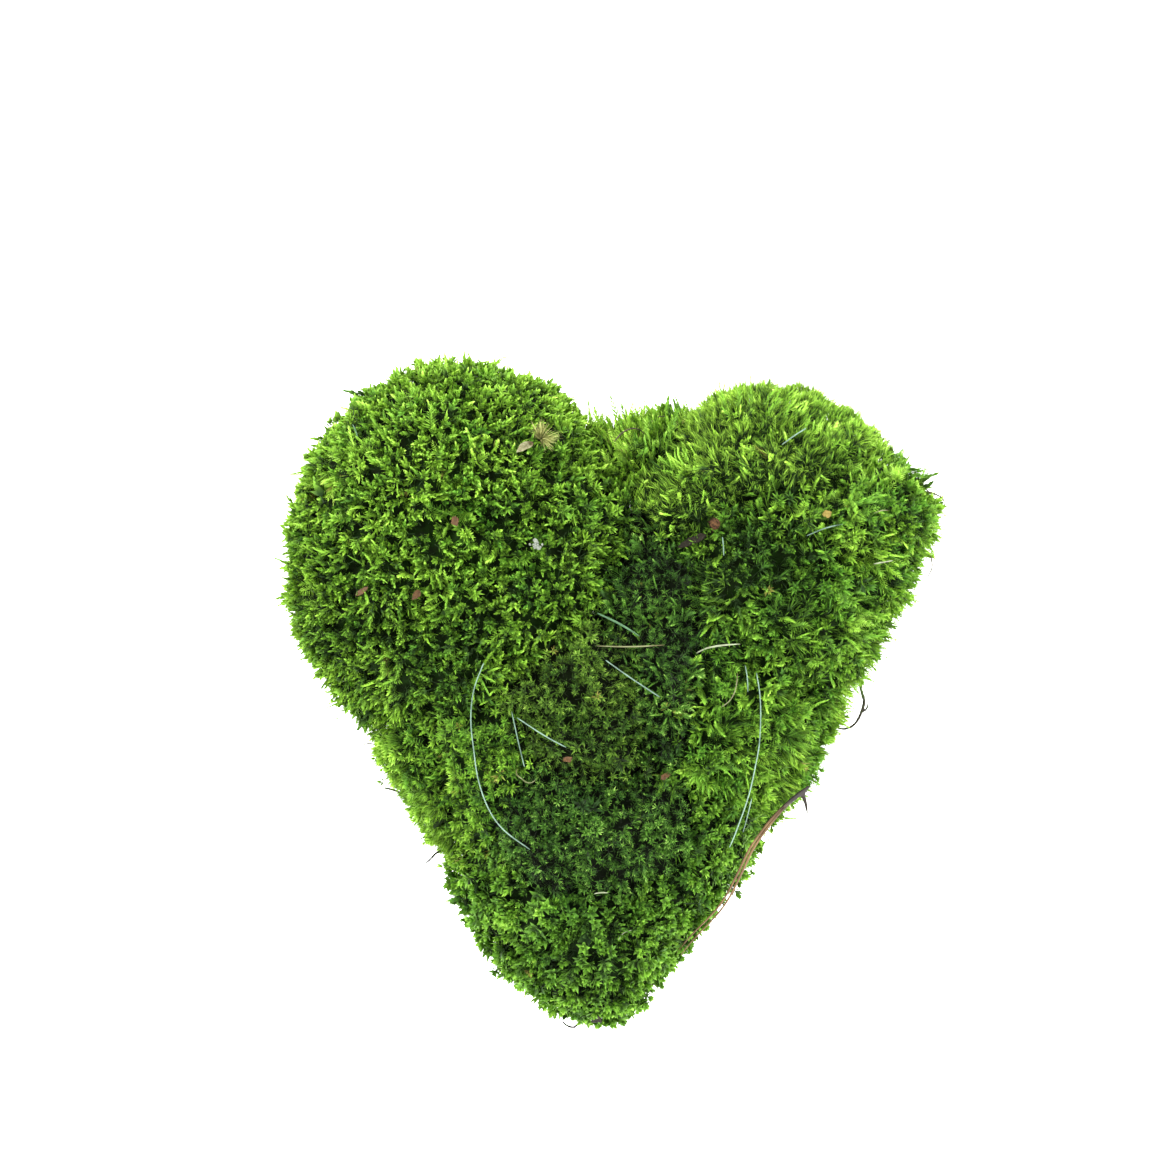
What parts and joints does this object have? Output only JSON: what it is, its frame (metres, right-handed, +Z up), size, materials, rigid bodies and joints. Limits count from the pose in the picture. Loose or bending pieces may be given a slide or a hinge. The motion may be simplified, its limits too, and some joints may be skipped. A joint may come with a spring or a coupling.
{
  "type": "moss clump",
  "caption": "Heart-shaped clump of living moss cushions of several kinds, lying flat, with fine binding wires, needles and forest litter on it.",
  "frame": {"origin": "middle of the flat underside's level, under the centre of the clump's box", "axes": "+Z up out of the heart's front, +Y towards the notch, -Y towards the tip, +X towards the right lobe as seen in the picture"},
  "size_m": [0.2724, 0.2704, 0.0849],
  "materials": {
    "left_lobe_moss": "mid green feather moss, matte",
    "notch_moss": "mid green frond moss, matte",
    "right_lobe_moss": "light green fork moss, matte",
    "right_side_moss": "mid green fork moss with lighter fronds, matte",
    "dark_centre_moss": "dark olive short moss, matte",
    "olive_centre_moss": "olive star moss, matte",
    "left_star_moss": "yellow-green star moss, matte",
    "left_rim_moss": "bright yellow-green soft moss, matte",
    "dark_lower_moss": "dark green fine-leaved moss, matte",
    "right_middle_moss": "bright green hair-like fork moss, matte",
    "tip_moss": "mid green star-tipped moss, matte",
    "binding_wire": "fine pale green lacquered wire",
    "pine_needle": "dry brown pine needles, satin",
    "green_needle": "fresh needle, waxy",
    "dry_stalk": "dry cream stalks, matte",
    "white_fibre": "bleached stalk, matte",
    "straw": "dried straw-yellow leaves, matte",
    "rootlet": "dark rootlets, matte",
    "bark": "dark bark and twig, matte",
    "seed_cap": "brown seed cap, matte",
    "dry_leaf": "rust-brown leaf scraps, matte",
    "lichen": "white lichen, matte"
  },
  "bodies": {
    "root": {"left_lobe_moss": "left_lobe_moss", "notch_moss": "notch_moss", "right_lobe_moss": "right_lobe_moss", "right_side_moss": "right_side_moss", "dark_centre_moss": "dark_centre_moss", "olive_centre_moss": "olive_centre_moss", "left_star_moss": "left_star_moss", "left_rim_moss": "left_rim_moss", "dark_lower_moss": "dark_lower_moss", "right_middle_moss": "right_middle_moss", "tip_moss": "tip_moss", "binding_wire_1": "binding_wire", "binding_wire_2": "binding_wire", "binding_wire_3": "binding_wire", "binding_wire_4": "binding_wire", "binding_wire_5": "binding_wire", "binding_wire_6": "binding_wire", "binding_wire_7": "binding_wire", "binding_wire_8": "binding_wire", "binding_wire_9": "binding_wire", "binding_wire_10": "binding_wire", "pine_needle_pair": "pine_needle", "green_needle": "green_needle", "lobe_needle": "green_needle", "pale_grass_stalk": "dry_stalk", "curved_stalk": "dry_stalk", "thin_stalk": "dry_stalk", "lobe_straw": "dry_stalk", "tip_stalk": "dry_stalk", "root_tangle": "dry_stalk", "dry_bud_scale": "dry_stalk", "cut_straw": "white_fibre", "pale_hair": "white_fibre", "tip_thread": "white_fibre", "straw_tuft": "straw", "yellow_petal": "straw", "notch_rootlet": "rootlet", "notch_fibre": "rootlet", "lobe_curl": "rootlet", "edge_rootlet": "rootlet", "left_rootlet": "rootlet", "side_twig": "bark", "rim_twig": "bark", "left_twiglet": "bark", "tip_twiglet": "bark", "bark_flake": "bark", "tip_bark_chip": "bark", "seed_cap": "seed_cap", "leaf_scrap_1": "dry_leaf", "leaf_scrap_2": "dry_leaf", "leaf_scrap_3": "dry_leaf", "leaf_scrap_4": "dry_leaf", "leaf_scrap_5": "dry_leaf", "lichen_flake": "lichen"}
  },
  "joints": []
}
